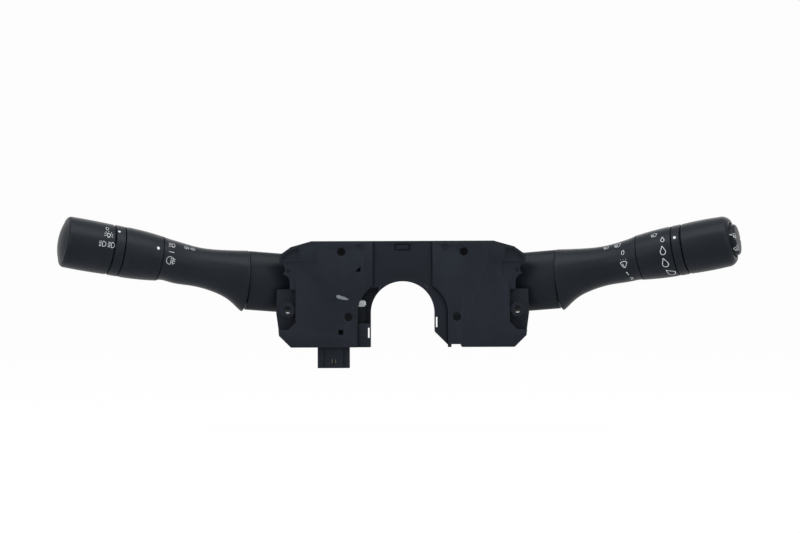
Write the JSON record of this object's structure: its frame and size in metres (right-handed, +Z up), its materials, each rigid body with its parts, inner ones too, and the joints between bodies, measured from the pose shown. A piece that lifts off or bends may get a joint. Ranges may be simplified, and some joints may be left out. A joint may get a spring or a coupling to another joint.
{
  "type": "combination stalk switch",
  "caption": "U-shaped column switch carrier with a lighting stalk on the left and a wiper stalk on the right, each with turning rings, pivots, detent, contacts and plug.",
  "frame": {"origin": "on the steering column's axis, in the plane of the fixing ears' seat faces", "axes": "+X to the driver's right, +Y away from the driver along the column, +Z up"},
  "size_m": [0.4212, 0.0879, 0.0944],
  "materials": {
    "housing_black": "fine matte moulded texture",
    "stalk_black": "satin, fine grain",
    "inner_grey": "smooth glass-filled nylon",
    "white_nylon": "natural white, smooth",
    "spring_steel": "bright wire and zinc plate",
    "contact_copper": "bare copper alloy",
    "board_green": "solder mask",
    "tinned_brass": "tinned"
  },
  "bodies": {
    "base": {"base_frame": "housing_black", "column_collar": "housing_black", "left_front_cover": "housing_black", "right_front_cover": "housing_black", "cover_screws": "spring_steel", "left_rear_housing": "housing_black", "right_rear_housing": "housing_black", "left_detent_cam": "inner_grey", "right_detent_cam": "inner_grey", "left_contact_board": "board_green", "right_contact_board": "board_green", "left_contact_tracks": "contact_copper", "right_contact_tracks": "contact_copper", "light_plug_shell": "housing_black", "light_plug_terminals": "tinned_brass", "wiper_plug_shell": "housing_black", "wiper_plug_terminals": "tinned_brass", "cancel_spring": "spring_steel"},
    "turn_carrier": {"turn_yoke": "inner_grey", "turn_tilt_pin": "spring_steel", "turn_contact_shoe": "contact_copper"},
    "left_lever": {"left_lever_core": "inner_grey", "left_neck_shroud": "stalk_black", "left_stalk_front_shell": "stalk_black", "left_stalk_rear_shell": "stalk_black", "left_index_ring": "stalk_black", "left_detent_spring": "spring_steel", "light_contact_disc": "board_green"},
    "left_plunger": {"left_detent_plunger": "white_nylon"},
    "light_knob": {"light_knob": "stalk_black", "light_knob_clip": "spring_steel", "light_shaft": "inner_grey", "light_rotor": "contact_copper"},
    "fog_ring": {"fog_ring": "stalk_black", "fog_ring_wiper": "contact_copper"},
    "cancel_slider": {"cancel_slider": "housing_black", "cancel_pin": "spring_steel"},
    "cancel_pawl": {"cancel_pawl": "white_nylon"},
    "wiper_carrier": {"wiper_yoke": "inner_grey", "wiper_tilt_pin": "spring_steel", "wiper_contact_shoe": "contact_copper"},
    "right_lever": {"right_lever_core": "inner_grey", "right_neck_shroud": "stalk_black", "right_stalk_front_shell": "stalk_black", "right_stalk_rear_shell": "stalk_black", "right_index_ring": "stalk_black", "stalk_end_cap": "stalk_black", "rocker_pin": "spring_steel", "rocker_switch": "inner_grey", "right_detent_spring": "spring_steel"},
    "right_plunger": {"right_detent_plunger": "white_nylon"},
    "interval_ring": {"interval_ring": "stalk_black", "interval_ring_wiper": "contact_copper"},
    "rocker": {"rear_wiper_rocker": "stalk_black"}
  },
  "joints": [
    {"name": "turn_signal", "type": "hinge", "parent": "base", "child": "turn_carrier", "pos_m": [-0.056, 0.019, 0.0186], "axis": [0, 1, 0], "range_deg": [-7, 7]},
    {"name": "beam_and_flash", "type": "hinge", "parent": "turn_carrier", "child": "left_lever", "pos_m": [-0.056, 0.019, 0.0186], "axis": [0, 0, 1], "range_deg": [-4, 4], "stiffness_Nm_per_rad": 1.5},
    {"name": "left_detent", "type": "slide", "parent": "left_lever", "child": "left_plunger", "axis": [-1, 0, 0], "range_m": [0, 0.0015], "stiffness_N_per_m": 1500, "springref_m": -0.001, "deforming": ["left_detent_spring"]},
    {"name": "light_switch", "type": "hinge", "parent": "left_lever", "child": "light_knob", "pos_m": [-0.19245, -0.02272, 0.0426], "axis": [-0.941, -0.2877, 0.1779], "range_deg": [0, 45]},
    {"name": "fog_switch", "type": "hinge", "parent": "left_lever", "child": "fog_ring", "pos_m": [-0.16234, -0.01351, 0.03691], "axis": [-0.941, -0.2877, 0.1779], "range_deg": [-22, 22]},
    {"name": "cancel_slide", "type": "slide", "parent": "base", "child": "cancel_slider", "axis": [1, 0, 0], "range_m": [0, 0.0035], "stiffness_N_per_m": 300, "springref_m": -0.001, "deforming": ["cancel_spring"]},
    {"name": "cancel_pawl_tip", "type": "hinge", "parent": "cancel_slider", "child": "cancel_pawl", "pos_m": [-0.0316, 0.005, 0.0062], "axis": [0, 1, 0], "range_deg": [-15, 15], "stiffness_Nm_per_rad": 0.02},
    {"name": "wiper_lever", "type": "hinge", "parent": "base", "child": "wiper_carrier", "pos_m": [0.056, 0.019, 0.0186], "axis": [0, 1, 0], "range_deg": [-4, 12]},
    {"name": "washer_pull", "type": "hinge", "parent": "wiper_carrier", "child": "right_lever", "pos_m": [0.056, 0.019, 0.0186], "axis": [0, 0, -1], "range_deg": [0, 4], "stiffness_Nm_per_rad": 1.5, "springref_deg": -1.15},
    {"name": "right_detent", "type": "slide", "parent": "right_lever", "child": "right_plunger", "axis": [1, 0, 0], "range_m": [0, 0.0015], "stiffness_N_per_m": 1500, "springref_m": -0.001, "deforming": ["right_detent_spring"]},
    {"name": "interval_switch", "type": "hinge", "parent": "right_lever", "child": "interval_ring", "pos_m": [0.15857, -0.01236, 0.0362], "axis": [0.941, -0.2877, 0.1779], "range_deg": [0, 60]},
    {"name": "rear_wiper_switch", "type": "hinge", "parent": "right_lever", "child": "rocker", "pos_m": [0.19904, -0.02473, 0.04385], "axis": [0.2924, 0.9563, 0], "range_deg": [-6, 6], "stiffness_Nm_per_rad": 0.2}
  ]
}
